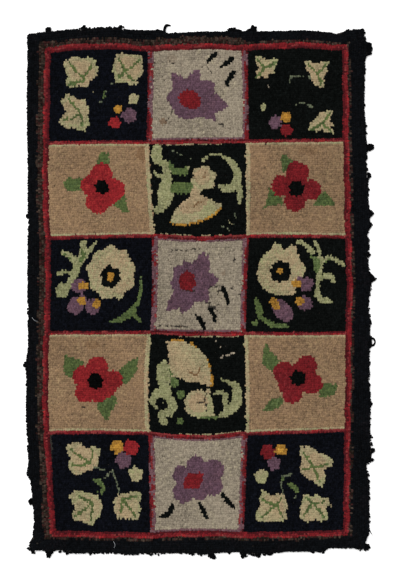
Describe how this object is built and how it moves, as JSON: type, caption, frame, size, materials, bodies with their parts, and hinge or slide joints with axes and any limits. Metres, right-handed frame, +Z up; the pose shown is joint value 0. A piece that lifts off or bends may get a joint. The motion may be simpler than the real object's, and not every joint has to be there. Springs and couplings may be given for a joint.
{
  "type": "hooked rug",
  "caption": "Flat rectangular hooked rug: a lumpy loop-pile slab with an uneven outline, ragged locks at its rim and a flat underside.",
  "frame": {"origin": "middle of the underside, on the floor", "axes": "+Z up through the pile, +Y along the rug's length, +X across its width"},
  "size_m": [0.8898, 1.3548, 0.0109],
  "materials": {
    "wool": "matte wool loops in many colours"
  },
  "bodies": {
    "root": {"hooked_rug": "wool"}
  },
  "joints": []
}
